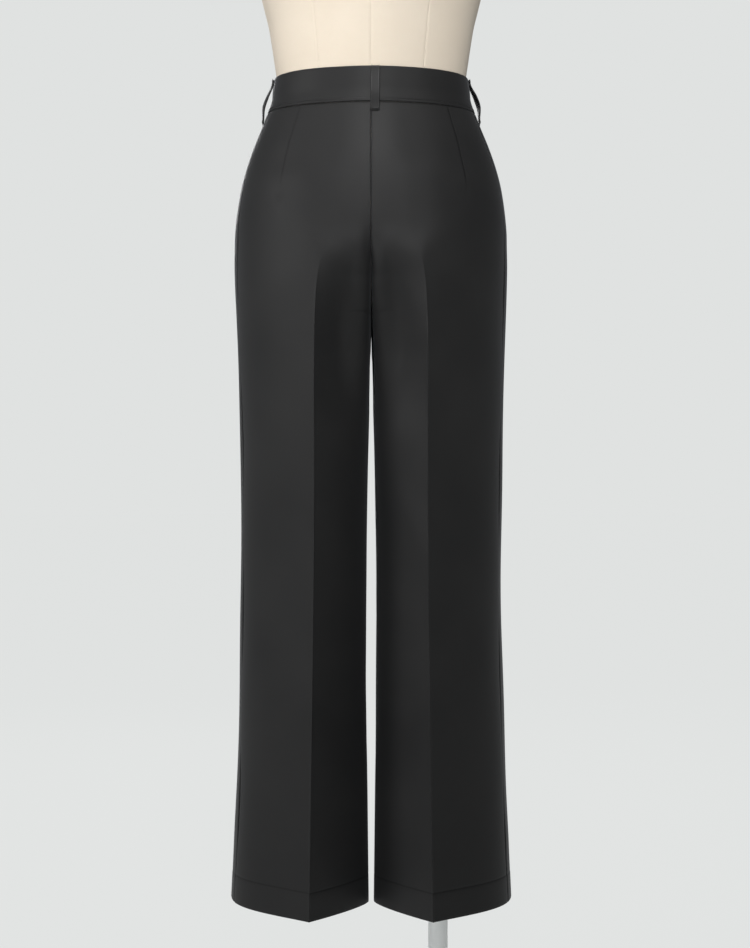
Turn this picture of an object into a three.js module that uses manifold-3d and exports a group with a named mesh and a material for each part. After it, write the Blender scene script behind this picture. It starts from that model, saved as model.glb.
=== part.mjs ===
// High-waisted wide-leg trousers on a canvas dress form with a floor stand.
// Millimetres, +Z up. The garment faces -Y, so its back faces +Y and the wearer's left is +X.
// The origin is on the floor under the middle of the stand's base.
import * as THREE from 'three';
import { mergeVertices } from 'three/addons/utils/BufferGeometryUtils.js';
import Module from 'manifold-3d';

const wasm = await Module();
wasm.setup();

// Driving sizes of the trousers
const HEM_HEIGHT = 170; // side of the hem above the floor
const OUTSEAM = 1051; // waistband top to hem, down the side
const BAND_HEIGHT = 45;
const RISE = 307; // waistband top to the fork of the legs
const HEM_ALLOWANCE = 35; // cloth turned up inside the hem
const CLOTH = 1.5; // wall of a panel
const BAND_CLOTH = 2.4; // wall of the doubled waistband
const LOOP_CLOTH = 2.2;
const SEAM_GAP = 0.3; // between neighbouring pieces
const HALF_GAP = SEAM_GAP / 2;
const WAIST_TOP = HEM_HEIGHT + OUTSEAM;

// The centre seams turn under the body here, measured down from the waistband top
const BACK_SEAM_TURN = 201;
const FRONT_SEAM_TURN = 181;
const FORK_Y = 5; // the fork lies a little behind the middle
const INSEAM_Y = 26; // further down, the inseam runs at this depth
const INSEAM_SETTLED = 450;
const LEG_SPLIT_START = 196; // the sections begin to fold in towards the centre seams
const LEG_SPLIT_END = 275;
const HANDLE = 0.38; // how far a section's curves keep their end directions, as a share
const INSEAM_HANDLE = 0.16; // less beside the inseams, where the legs' inner sides are flatter
const INSEAM_HANDLE_SETTLED = 700;
const SIDE_SEAM_T = 0.8; // the side seam's place on the arc from back crease to side
const NEAR_PLACES = 2 / 7; // share of the places that lie near the centre seam or inseam
const NEAR_ROUND = 0.12; // and of the round stretch that they take up
const HEM_DIP = 6; // the hem is lower at the back crease
const WAIST_DIP = 3; // the waistband is lower at the centre back and front

// Driving sizes of the form and its stand
const BAND_CLEARANCE = 0.4; // waistband to form
const HIP_CLEARANCE = 3.5; // panel to form, over the hips
const FORM_BOTTOM = 291; // lowest point of the torso, down from the waistband top
const POLE_X = -86; // the pole runs down inside the wearer's right leg
const POLE_RADIUS = 12.5;
const POLE_SOCKET = 246; // top of the pole, down from the waistband top
const COLLAR_RADIUS = 25;
const COLLAR_HEIGHT = 38;
const BASE_RADIUS = 200;
const BASE_THICKNESS = 8;
const BASE_EDGE = 2;
const NECK_CAP_HEIGHT = 14;
const ARM_PLATE = { up: 309, halfDepth: 34, halfHeight: 50, thickness: 4 };
const ARM_PLANE = { up: 229, x: 158, slope: 0.1 };
const FINE = 24; // sides of a round bar

// Colours
const CLOTH_COLOUR = 0x2b2b2d;
const CANVAS_COLOUR = 0xe9dccb;
const STAND_COLOUR = 0xd9dbda;
const BUTTON_COLOUR = 0x1b1b1c;

// Turns rows of numbers into rows with named columns
function table(columns, rows) {
  return rows.map((row) => Object.fromEntries(columns.map((name, i) => [name, row[i]])));
}

// An oval section with its crease point on the oval, for the waist and the torso
function oval({ at, side, back, front }) {
  const share = 0.34;
  const height = Math.sqrt(1 - share * share);
  const slope = (depth) => -THREE.MathUtils.radToDeg(Math.atan((depth / side) * (share / height)));
  return {
    at, side, creaseX: share * side,
    back: back * height, backRise: slope(back), backFall: slope(back),
    front: front * height, frontRise: slope(front), frontFall: slope(front),
    centreBack: back, centreFront: front, gap: HALF_GAP, backCleft: 0, frontCleft: 0,
  };
}

// Sections of the trousers, at mm down from the waistband top. side is half the width, back and
// front are the depths at the crease, centreBack and centreFront those at the centre seams, and
// rise and fall are the section's slopes in degrees on the inner and outer side of the crease.
// Between the legs the cloth runs straight as far as the cleft depths, then turns outwards.
const WAIST_TO_HIP = table(['at', 'side', 'back', 'front'], [
  [0, 124.5, 97, 92],
  [18, 127, 98.5, 93.2],
  [28, 127.9, 99.3, 93.8],
  [38, 131, 101, 95],
  [45, 133.8, 102.5, 96],
  [64, 141.3, 107.5, 99.5],
  [90, 151.8, 114, 103.5],
  [116, 160.6, 120, 107],
]).map(oval);
const HIP_TO_HEM = table([
  'at', 'side', 'creaseX', 'back', 'backRise', 'backFall', 'front', 'frontRise', 'frontFall',
  'centreBack', 'centreFront', 'gap', 'backCleft', 'frontCleft',
], [
  [142, 167.3, 58, 119.5, -10, -14, 104, -9, -14, 124, 109, 0.15, 0, 0],
  [193, 174.2, 58, 126.5, -4, -13, 107.5, -6, -14, 129, 112, 0.15, 60, 60],
  [221, 174.9, 59, 129, 1, -15, 108.5, -2, -15, 129, 112, 0.15, 100, 80],
  [240, 175.2, 61, 130.5, 5, -17, 109, 3, -17, 129, 112, 0.15, 110, 86],
  [266, 174.8, 65.5, 131.5, 10, -20, 110, 9, -20, 129, 112, 0.15, 104, 83],
  [301, 173.8, 68, 132, 17, -24, 111, 16, -24, 129, 112, 0.3, 89, 72],
  [371, 171.7, 69.5, 130.5, 27, -28, 112, 26, -28, 129, 112, 0.95, 64, 46],
  [501, 168.2, 69.6, 125, 35, -32, 112.5, 34, -32, 129, 112, 4.3, 38, 12],
  [669, 167.8, 70.6, 119, 40, -34, 112.5, 40, -34, 129, 112, 6.3, 27, -16],
  [833, 171.5, 72.8, 117, 42, -35, 113, 42, -35, 129, 112, 5.6, 26, -26],
  [921, 174, 74, 117, 42, -35, 113.5, 42, -35, 129, 112, 4.5, 26, -26],
  [1051, 180.2, 76, 118.5, 42, -35, 115, 42, -35, 129, 112, 3, 26, -26],
]);
const TROUSER_ROWS = [...WAIST_TO_HIP, ...HIP_TO_HEM];

// Sections of the form's torso, at mm up from the waistband top
const TORSO_ROWS = table(['at', 'side', 'back', 'front'], [
  [0, 121.7, 94.2, 89.2],
  [18, 124.4, 95.5, 91],
  [42, 128, 98, 95],
  [66, 132, 101, 100],
  [88, 137.4, 104.5, 106],
  [104, 141.3, 107, 110],
  [140, 149, 110, 118],
  [180, 153.5, 111, 124],
  [215, 156, 109.5, 120],
  [250, 165, 106, 109],
  [280, 177, 101, 98],
  [310, 186, 94, 87],
  [340, 192, 85, 76],
  [360, 190, 77, 69],
  [372, 178, 71, 65],
  [382, 152, 66, 63],
  [393, 122, 61, 61.5],
  [404, 94, 57, 60.5],
  [416, 70, 53, 59],
  [430, 60, 50, 57.5],
  [470, 56, 48, 55],
]).map(oval);

// A smooth curve through every column of the rows, read at one place
function interpolate(rows, at) {
  const last = rows.length - 1;
  const i = Math.min(last - 1, Math.max(0, rows.findIndex((row) => row.at > at) - 1));
  const index = at >= rows[last].at ? last - 1 : i;
  const secant = (k, name) => {
    const j = Math.min(last - 1, Math.max(0, k));
    return (rows[j + 1][name] - rows[j][name]) / (rows[j + 1].at - rows[j].at);
  };
  const slope = (k, name) => (secant(k - 1, name) + secant(k, name)) / 2;
  const step = rows[index + 1].at - rows[index].at;
  const t = THREE.MathUtils.clamp((at - rows[index].at) / step, 0, 1);
  const blend = {};
  for (const name of Object.keys(rows[0])) {
    blend[name] = (2 * t ** 3 - 3 * t ** 2 + 1) * rows[index][name]
      + (t ** 3 - 2 * t ** 2 + t) * step * slope(index, name)
      + (3 * t ** 2 - 2 * t ** 3) * rows[index + 1][name]
      + (t ** 3 - t ** 2) * step * slope(index + 1, name);
  }
  return blend;
}

// The centre seam's depth, which turns under the body in a quarter of an ellipse to the fork
function seamDepth(down, turn, depth, side) {
  const sunk = THREE.MathUtils.clamp((down - turn) / (RISE - turn), 0, 1);
  const fork = side * FORK_Y;
  return fork + (depth - fork) * Math.sqrt(1 - sunk * sunk);
}

// The curve between a crease and the centre seam or inseam. Where the legs' inner sides lie
// together it has a straight stretch beside the seam, which the nearest places take up.
function innerCurve(seam, round, fromSeam) {
  const start = fromSeam ? round.v0 : round.v3;
  const straight = seam.distanceTo(start);
  const roundLength = round.getLength();
  const whole = new THREE.CurvePath();
  const line = fromSeam ? new THREE.LineCurve(seam, start) : new THREE.LineCurve(start, seam);
  const parts = fromSeam ? [line, round] : [round, line];
  parts.filter((part) => part.getLength() > 0.5).forEach((part) => whole.add(part));
  const reach = (share) => {
    const rest = (share - NEAR_PLACES) / (1 - NEAR_PLACES);
    if (rest < 0) return (share / NEAR_PLACES) * (straight + NEAR_ROUND * roundLength);
    return straight + roundLength * (NEAR_ROUND + (1 - NEAR_ROUND) * rest);
  };
  const along = (t) => {
    const share = reach(fromSeam ? t : 1 - t) / (straight + roundLength);
    return THREE.MathUtils.clamp(fromSeam ? share : 1 - share, 0, 1);
  };
  return {
    getPoint: (t) => whole.getPoint(along(t)),
    getTangent: (t) => whole.getTangent(along(t)),
  };
}

// Half a section as four curves: centre back to back crease, to side, to front crease, to front
function halfSection(row, turn, backEnd, frontEnd, seamHandle = HANDLE) {
  const angle = THREE.MathUtils.degToRad;
  const heading = (degrees) => new THREE.Vector2(Math.cos(angle(degrees)), Math.sin(angle(degrees)));
  const curve = (start, startWay, end, endWay, startHandle = HANDLE, endHandle = HANDLE) => {
    const chord = start.distanceTo(end);
    return new THREE.CubicBezierCurve(
      start,
      start.clone().addScaledVector(startWay, startHandle * chord),
      end.clone().addScaledVector(endWay, -endHandle * chord),
      end,
    );
  };
  const centreBack = new THREE.Vector2(row.gap, backEnd);
  const backRound = new THREE.Vector2(row.gap, Math.max(backEnd, row.backCleft));
  const backCrease = new THREE.Vector2(row.creaseX, row.back);
  const side = new THREE.Vector2(row.side, 0);
  const frontCrease = new THREE.Vector2(row.creaseX, -row.front);
  const frontRound = new THREE.Vector2(row.gap, Math.min(frontEnd, -row.frontCleft));
  const centreFront = new THREE.Vector2(row.gap, frontEnd);
  return [
    innerCurve(
      centreBack,
      curve(backRound, heading(turn), backCrease, heading(row.backRise), seamHandle),
      true,
    ),
    curve(backCrease, heading(row.backFall), side, heading(-90)),
    curve(side, heading(-90), frontCrease, heading(180 - row.frontFall)),
    innerCurve(
      centreFront,
      curve(
        frontCrease,
        heading(180 - row.frontRise),
        frontRound,
        heading(180 - turn),
        HANDLE,
        seamHandle,
      ),
      false,
    ),
  ];
}

// Half a section of the trousers at a place down from the waistband top
function trouserSection(down) {
  const row = interpolate(TROUSER_ROWS, down);
  const back = seamDepth(down, BACK_SEAM_TURN, Math.min(row.centreBack, 129), 1);
  const front = seamDepth(down, FRONT_SEAM_TURN, row.centreFront, -1);
  const inseam = THREE.MathUtils.smoothstep(down, RISE, INSEAM_SETTLED) * (INSEAM_Y - FORK_Y);
  const turn = 90 * THREE.MathUtils.smoothstep(down, LEG_SPLIT_START, LEG_SPLIT_END);
  const flat = THREE.MathUtils.smoothstep(down, RISE, INSEAM_HANDLE_SETTLED);
  const handle = HANDLE + (INSEAM_HANDLE - HANDLE) * flat;
  return halfSection(row, turn, back + inseam, inseam - front, handle);
}

// Places on a half section: a curve's number and a share of its length
function places(curve, from, to, steps) {
  return Array.from({ length: steps + 1 }, (_, i) => ({ curve, t: from + ((to - from) * i) / steps }));
}
function join(...lists) {
  return lists.flatMap((list, i) => (i ? list.slice(1) : list));
}
const BACK_PLACES = join(places(0, 0, 1, 7), places(1, 0, SIDE_SEAM_T, 6));
const FRONT_PLACES = join(places(1, SIDE_SEAM_T, 1, 2), places(2, 0, 1, 6), places(3, 0, 1, 7));

// A point of a section, with its outward normal, moved along the section by shift
function pointOn(section, { curve, t }, shift = 0) {
  const point = section[curve].getPoint(t);
  const way = section[curve].getTangent(t);
  return { x: point.x + way.x * shift, y: point.y + way.y * shift, nx: -way.y, ny: way.x };
}

// The height of a point: the waistband and the hem dip a little at the back and front
function heightOf(down, y) {
  const waist = 1 - THREE.MathUtils.smoothstep(down, BAND_HEIGHT, 130);
  const hem = THREE.MathUtils.smoothstep(down, 700, OUTSEAM);
  const waistDip = WAIST_DIP * waist * Math.min(1, Math.abs(y) / 95);
  const hemDip = HEM_DIP * hem * THREE.MathUtils.clamp(y / 118, 0, 1);
  return WAIST_TOP - down - waistDip - hemDip;
}

// A closed wall between two grids of points, outer and inner, rows running down and columns
// from the centre back round to the centre front
function wall(outer, inner) {
  const rows = outer.length;
  const columns = outer[0].length;
  const corner = (layer, r, c) => (layer * rows + r) * columns + c;
  const faces = [];
  const quad = (a, b, c, d) => faces.push(a, b, d, b, c, d);
  for (let r = 0; r < rows - 1; r += 1) {
    for (let c = 0; c < columns - 1; c += 1) {
      quad(corner(0, r, c), corner(0, r, c + 1), corner(0, r + 1, c + 1), corner(0, r + 1, c));
      quad(corner(1, r, c), corner(1, r + 1, c), corner(1, r + 1, c + 1), corner(1, r, c + 1));
    }
    quad(corner(0, r, 0), corner(0, r + 1, 0), corner(1, r + 1, 0), corner(1, r, 0));
    const end = columns - 1;
    quad(corner(0, r + 1, end), corner(0, r, end), corner(1, r, end), corner(1, r + 1, end));
  }
  for (let c = 0; c < columns - 1; c += 1) {
    quad(corner(0, 0, c + 1), corner(0, 0, c), corner(1, 0, c), corner(1, 0, c + 1));
    const end = rows - 1;
    quad(corner(0, end, c), corner(0, end, c + 1), corner(1, end, c + 1), corner(1, end, c));
  }
  return meshGeometry([...outer.flat(), ...inner.flat()], faces);
}

function meshGeometry(points, faces) {
  const geometry = new THREE.BufferGeometry();
  geometry.setAttribute('position', new THREE.Float32BufferAttribute(points.flat(), 3));
  geometry.setIndex(faces);
  geometry.computeVertexNormals();
  return geometry;
}

// The same geometry on the other side of the X = 0 plane
function mirrored(geometry) {
  const copy = geometry.clone().scale(-1, 1, 1);
  const faces = Array.from(copy.index.array);
  for (let i = 0; i < faces.length; i += 3) [faces[i], faces[i + 1]] = [faces[i + 1], faces[i]];
  copy.setIndex(faces);
  copy.computeVertexNormals();
  return copy;
}

// The rows of a panel, down from the waistband seam: close at the fork and at the hem's fold
function panelRows() {
  const rows = [BAND_HEIGHT + HALF_GAP, 64, 90, 116, 142, 172];
  for (let step = 0; step <= 6; step += 1) {
    rows.push(BACK_SEAM_TURN + (RISE - BACK_SEAM_TURN) * Math.sin((step * Math.PI) / 12));
  }
  rows.push(325, 348, 371);
  for (let down = 420; down < OUTSEAM - HEM_ALLOWANCE - 30; down += 50) rows.push(down);
  const fold = OUTSEAM - HEM_ALLOWANCE;
  rows.push(fold - 0.2, fold + 0.2, OUTSEAM);
  return rows;
}

// One leg's back or front, on the wearer's left
function panel(columns, centreColumn) {
  const outer = [];
  const inner = [];
  for (const down of panelRows()) {
    const section = trouserSection(down);
    const layers = down > OUTSEAM - HEM_ALLOWANCE ? 2 : 1;
    const outerRow = [];
    const innerRow = [];
    columns.forEach((place, column) => {
      const atCentre = column === centreColumn;
      const trim = atCentre && down < RISE - 0.01 ? 0 : HALF_GAP;
      const ends = { 0: trim, [columns.length - 1]: -trim };
      const point = pointOn(section, place, ends[column] ?? 0);
      const z = heightOf(down, point.y);
      const thickness = CLOTH * layers;
      outerRow.push([point.x, point.y, z]);
      innerRow.push([point.x - point.nx * thickness, point.y - point.ny * thickness, z]);
    });
    outer.push(outerRow);
    inner.push(innerRow);
  }
  return wall(outer, inner);
}

// A stretch of waistband along the places of each section. step moves it out at its far end,
// where it laps over the other side.
const BAND_ROWS = [0, 20, 32, BAND_HEIGHT - HALF_GAP];
function band(pathAt) {
  const outer = [];
  const inner = [];
  for (const down of BAND_ROWS) {
    const path = pathAt(trouserSection(down));
    const place = (p, inset) => {
      const x = p.x - p.nx * inset;
      const y = p.y - p.ny * inset;
      return [x, y, heightOf(down, p.y)];
    };
    outer.push(path.map((p) => place(p, -(p.step ?? 0))));
    inner.push(path.map((p) => place(p, BAND_CLOTH - (p.step ?? 0))));
  }
  return wall(outer, inner);
}

const acrossX = (p) => ({ ...p, x: -p.x, nx: -p.nx });

// The back waistband in one piece, from the right side seam to the left one
function backBand(section) {
  const half = BACK_PLACES.map((place, i) => {
    const end = i === BACK_PLACES.length - 1 ? -HALF_GAP : 0;
    return pointOn(section, place, end);
  });
  half[0] = { ...half[0], x: 0 };
  return [...half.slice(1).map(acrossX).reverse(), ...half];
}

function leftFrontBand(section) {
  return FRONT_PLACES.map((place, i) => pointOn(section, place, i ? 0 : HALF_GAP));
}

// The right front waistband goes on past the centre front and laps over the left one
const OVERLAP_PLACES = places(3, 1, 0.32, 5).slice(1);
const OVERLAP_RAMP = 20;
const OVERLAP_STEP = BAND_CLOTH + SEAM_GAP;
function rightFrontBand(section) {
  const side = FRONT_PLACES.map((place, i) => acrossX(pointOn(section, place, i ? 0 : HALF_GAP)));
  const lap = OVERLAP_PLACES.map((place) => pointOn(section, place));
  return [...side, ...lap].reverse().map((p) => {
    const share = THREE.MathUtils.smoothstep(p.x, -OVERLAP_RAMP, -2);
    return { ...p, step: OVERLAP_STEP * share };
  });
}

// A belt loop: a strip that leaves the cloth below the waistband's top edge and comes back
// under its lower seam, standing out between them
const LOOP_WIDTH = 12;
const LOOP_STAND = 6.9;
const LOOP_MIDDLE = 34; // down from the waistband top
const LOOP_REACH = 24; // half the height of the stretch that stands out
const LOOP_TOP = 1;
const LOOP_END = 57;
function beltLoop({ curve, t, across = 1, slide = 0 }) {
  const on = (down) => {
    const p = pointOn(trouserSection(down), { curve, t });
    return across < 0 ? acrossX(p) : p;
  };
  const middle = on(LOOP_MIDDLE);
  const out = new THREE.Vector3(middle.nx, middle.ny, 0).normalize();
  const up = new THREE.Vector3(0, 0, 1);
  const along = out.clone().cross(up);
  const steps = 14;
  const face = (extra) => Array.from({ length: steps + 1 }, (_, i) => {
    const down = LOOP_TOP + ((LOOP_END - LOOP_TOP) * i) / steps;
    const p = on(down);
    const near = THREE.MathUtils.clamp(Math.abs(down - LOOP_MIDDLE) / LOOP_REACH, 0, 1);
    const stand = SEAM_GAP + LOOP_STAND * Math.cos((near * Math.PI) / 2) ** 2;
    const reach = p.x * out.x + p.y * out.y;
    return new THREE.Vector2(reach + stand + extra, heightOf(down, p.y));
  });
  const outline = [...face(LOOP_CLOTH), ...face(0).reverse()];
  const strip = new THREE.ExtrudeGeometry(new THREE.Shape(outline), {
    depth: LOOP_WIDTH, bevelEnabled: false, steps: 1,
  });
  const sideways = middle.x * along.x + middle.y * along.y + slide - LOOP_WIDTH / 2;
  const frame = new THREE.Matrix4().makeBasis(out, up, along);
  return strip.translate(0, 0, sideways).applyMatrix4(frame);
}

// A flat four-hole button at the middle of the overlap
const BUTTON = { radius: 9, thickness: 3, hole: 1.1, spread: 2.3, t: 0.62, down: 22 };
function button() {
  const on = pointOn(trouserSection(BUTTON.down), { curve: 3, t: BUTTON.t });
  const disc = new THREE.Shape().absarc(0, 0, BUTTON.radius, 0, 2 * Math.PI);
  for (const [x, y] of [[1, 1], [-1, 1], [-1, -1], [1, -1]]) {
    const hole = new THREE.Path();
    hole.absarc(x * BUTTON.spread, y * BUTTON.spread, BUTTON.hole, 0, 2 * Math.PI, true);
    disc.holes.push(hole);
  }
  const geometry = new THREE.ExtrudeGeometry(disc, {
    depth: BUTTON.thickness, bevelEnabled: false, curveSegments: 10,
  });
  const sagitta = 0.35; // the waistband's curve under a flat button
  const at = (down) => {
    const p = pointOn(trouserSection(down), { curve: 3, t: BUTTON.t });
    return new THREE.Vector3(p.x, p.y, heightOf(down, p.y));
  };
  const up = at(BUTTON.down - BUTTON.radius).sub(at(BUTTON.down + BUTTON.radius)).normalize();
  const side = up.clone().cross(new THREE.Vector3(on.nx, on.ny, 0)).normalize();
  const out = side.clone().cross(up);
  geometry.applyMatrix4(new THREE.Matrix4().makeBasis(side, up, out));
  const place = at(BUTTON.down).addScaledVector(out, OVERLAP_STEP + SEAM_GAP + sagitta);
  return geometry.translate(place.x, place.y, place.z);
}

// Rings of points, from the bottom up, closed into a solid with a fan at each end
function ringSolid(rings) {
  const count = rings[0].length;
  const faces = [];
  rings.slice(1).forEach((_, r) => {
    for (let i = 0; i < count; i += 1) {
      const j = (i + 1) % count;
      const [a, b] = [r * count + i, r * count + j];
      faces.push(a, b + count, b, a, a + count, b + count);
    }
  });
  const middle = (ring) => ring[0].map((_, k) => ring.reduce((sum, p) => sum + p[k], 0) / count);
  const low = rings.length * count;
  const top = (rings.length - 1) * count;
  for (let i = 0; i < count; i += 1) {
    const j = (i + 1) % count;
    faces.push(low, i, j, low + 1, top + j, top + i);
  }
  return meshGeometry([...rings.flat(), middle(rings[0]), middle(rings.at(-1))], faces);
}

// A whole ring of the torso, clockwise from above, starting at the centre back
const TORSO_PLACES = join(BACK_PLACES, FRONT_PLACES);
function torsoRing(section, inset, heightAt, scale = 1) {
  const half = TORSO_PLACES.map((place) => {
    const p = pointOn(section, place);
    return [(p.x - p.nx * inset) * scale, (p.y - p.ny * inset) * scale];
  });
  half[0][0] = 0;
  half.at(-1)[0] = 0;
  const other = half.slice(1, -1).reverse().map(([x, y]) => [-x, y]);
  return [...half, ...other].map(([x, y]) => [x, y, heightAt(y)]);
}

// The torso: hips and waist follow the trousers from inside, the bottom is rounded off below
// them, and flat faces are left at the sides for the arm plates
function torsoRings() {
  const inset = (down) => {
    const hips = THREE.MathUtils.smoothstep(down, BAND_HEIGHT, 100);
    return BAND_CLOTH + BAND_CLEARANCE + (CLOTH + HIP_CLEARANCE - BAND_CLOTH) * hips;
  };
  const rings = [];
  const span = FORM_BOTTOM - BACK_SEAM_TURN;
  const lowest = trouserSection(BACK_SEAM_TURN);
  for (const tilt of [80, 65, 50, 35, 18]) {
    const angle = THREE.MathUtils.degToRad(tilt);
    const z = WAIST_TOP - BACK_SEAM_TURN - span * Math.sin(angle);
    rings.push(torsoRing(lowest, inset(BACK_SEAM_TURN), () => z, Math.cos(angle)));
  }
  for (const down of [BACK_SEAM_TURN, 172, 142, 116, 90, 64, ...BAND_ROWS.toReversed()]) {
    rings.push(torsoRing(trouserSection(down), inset(down), (y) => heightOf(down, y)));
  }
  const tops = [10, 24, 42, 66, 88, 104, 125, 150, 180, 215, 240, 260, 280, 300, 320, 340, 354,
    364, 373, 382, 393, 404, 416, 430, 470];
  for (const above of tops) {
    const row = interpolate(TORSO_ROWS, above);
    const section = halfSection(row, 0, row.centreBack, -row.centreFront);
    const armX = ARM_PLANE.x + (above - ARM_PLANE.up) * ARM_PLANE.slope;
    const ring = torsoRing(section, 0, () => WAIST_TOP + above);
    rings.push(ring.map(([x, y, z]) => [THREE.MathUtils.clamp(x, -armX, armX), y, z]));
  }
  return rings;
}

// A closed mesh as a solid, and a solid as a mesh
function toSolid(geometry) {
  const plain = geometry.clone();
  plain.deleteAttribute('normal');
  plain.deleteAttribute('uv');
  const merged = mergeVertices(plain, 1e-4);
  return new wasm.Manifold(new wasm.Mesh({
    numProp: 3,
    vertProperties: new Float32Array(merged.attributes.position.array),
    triVerts: new Uint32Array(merged.index.array),
  }));
}
function toGeometry(solid) {
  const mesh = solid.getMesh();
  const geometry = new THREE.BufferGeometry();
  geometry.setAttribute('position', new THREE.BufferAttribute(mesh.vertProperties, 3));
  geometry.setIndex(new THREE.BufferAttribute(mesh.triVerts, 1));
  geometry.computeVertexNormals();
  return geometry;
}

// An upright round bar between two heights
function bar(radius, bottom, top) {
  const height = top - bottom;
  return new THREE.CylinderGeometry(radius, radius, height, FINE)
    .rotateX(Math.PI / 2)
    .translate(POLE_X, 0, bottom + height / 2);
}

// The torso with the socket that takes the pole
function torso() {
  const socket = bar(POLE_RADIUS + SEAM_GAP, WAIST_TOP - 330, WAIST_TOP - POLE_SOCKET);
  return toGeometry(toSolid(ringSolid(torsoRings())).subtract(toSolid(socket)));
}

function pole() {
  return bar(POLE_RADIUS, BASE_THICKNESS + SEAM_GAP, WAIST_TOP - POLE_SOCKET - SEAM_GAP);
}

// A body turned from an outline of radius and height, its corners given in order
function turned(outline, segments) {
  const profile = outline.map(([radius, height]) => new THREE.Vector2(radius, height));
  return new THREE.LatheGeometry(profile, segments).rotateX(Math.PI / 2);
}

function collar() {
  const inside = POLE_RADIUS + SEAM_GAP;
  const bottom = BASE_THICKNESS + SEAM_GAP;
  const top = bottom + COLLAR_HEIGHT;
  const outline = [
    [inside, bottom], [COLLAR_RADIUS, bottom], [COLLAR_RADIUS, top - 3],
    [COLLAR_RADIUS - 3, top], [inside, top], [inside, bottom],
  ];
  return turned(outline, FINE).translate(POLE_X, 0, 0);
}

function base() {
  const outline = [
    [0, 0], [BASE_RADIUS - BASE_EDGE, 0], [BASE_RADIUS, BASE_EDGE],
    [BASE_RADIUS, BASE_THICKNESS - BASE_EDGE], [BASE_RADIUS - BASE_EDGE, BASE_THICKNESS],
    [0, BASE_THICKNESS],
  ];
  return turned(outline, 72);
}

// The cap on the neck, a shallow dome
function neckCap() {
  const neck = TORSO_ROWS.at(-1);
  const bottom = WAIST_TOP + neck.at + SEAM_GAP;
  const outline = [[0, 0], [1, 0], [1.03, 0.2], [1.03, 0.5], [0.94, 0.8], [0.6, 0.95], [0, 1]];
  return turned(outline, 40)
    .scale(neck.side, (neck.centreBack + neck.centreFront) / 2, NECK_CAP_HEIGHT)
    .translate(0, (neck.centreBack - neck.centreFront) / 2, bottom);
}

// An oval plate on the flat face where an arm would start
function armPlate() {
  const oval2d = new THREE.Shape().absellipse(
    0, 0, ARM_PLATE.halfDepth, ARM_PLATE.halfHeight, 0, 2 * Math.PI, false, 0,
  );
  const plate = new THREE.ExtrudeGeometry(oval2d, {
    depth: ARM_PLATE.thickness, bevelEnabled: false, curveSegments: 12,
  });
  const slope = ARM_PLANE.slope;
  const out = new THREE.Vector3(1, 0, -slope).normalize();
  const up = new THREE.Vector3(slope, 0, 1).normalize();
  const x = ARM_PLANE.x + (ARM_PLATE.up - ARM_PLANE.up) * slope;
  plate.applyMatrix4(new THREE.Matrix4().makeBasis(up.clone().cross(out), up, out));
  return plate.translate(x + SEAM_GAP * out.x, 0, WAIST_TOP + ARM_PLATE.up + SEAM_GAP * out.z);
}

// The named pieces
const trousers = new THREE.Group();
const form = new THREE.Group();
const cloth = (name, geometry) => add(trousers, name, geometry, CLOTH_COLOUR, 0.85);
function add(group, name, geometry, color, roughness) {
  const material = new THREE.MeshStandardMaterial({ color, roughness, metalness: 0 });
  const mesh = new THREE.Mesh(geometry, material);
  mesh.name = name;
  group.add(mesh);
}
// The same, for a geometry without an index
const indexed = (geometry) => {
  const plain = geometry.clone();
  plain.deleteAttribute('normal');
  plain.deleteAttribute('uv');
  return mergeVertices(plain, 1e-4);
};

const backPanel = panel(BACK_PLACES, 0);
const frontPanel = panel(FRONT_PLACES, FRONT_PLACES.length - 1);
const armPlateLeft = indexed(armPlate());
cloth('back_panel_left', backPanel);
cloth('back_panel_right', mirrored(backPanel));
cloth('front_panel_left', frontPanel);
cloth('front_panel_right', mirrored(frontPanel));
cloth('waistband_back', band(backBand));
cloth('waistband_front_left', band(leftFrontBand));
cloth('waistband_front_right', band(rightFrontBand));
cloth('belt_loop_back', beltLoop({ curve: 0, t: 0, slide: -5 }));
cloth('belt_loop_side_left', beltLoop({ curve: 1, t: 1 }));
cloth('belt_loop_side_right', beltLoop({ curve: 1, t: 1, across: -1 }));
cloth('belt_loop_front_left', beltLoop({ curve: 3, t: 0 }));
cloth('belt_loop_front_right', beltLoop({ curve: 3, t: 0, across: -1 }));
add(trousers, 'waist_button', button(), BUTTON_COLOUR, 0.4);
add(form, 'form_torso', torso(), CANVAS_COLOUR, 0.9);
add(form, 'form_neck_cap', neckCap(), CANVAS_COLOUR, 0.6);
add(form, 'form_arm_plate_left', armPlateLeft, CANVAS_COLOUR, 0.6);
add(form, 'form_arm_plate_right', mirrored(armPlateLeft), CANVAS_COLOUR, 0.6);
add(form, 'stand_pole', pole(), STAND_COLOUR, 0.5);
add(form, 'stand_collar', collar(), STAND_COLOUR, 0.5);
add(form, 'stand_base', base(), STAND_COLOUR, 0.5);

const object = new THREE.Group();
object.add(trousers, form);
export default object;
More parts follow.
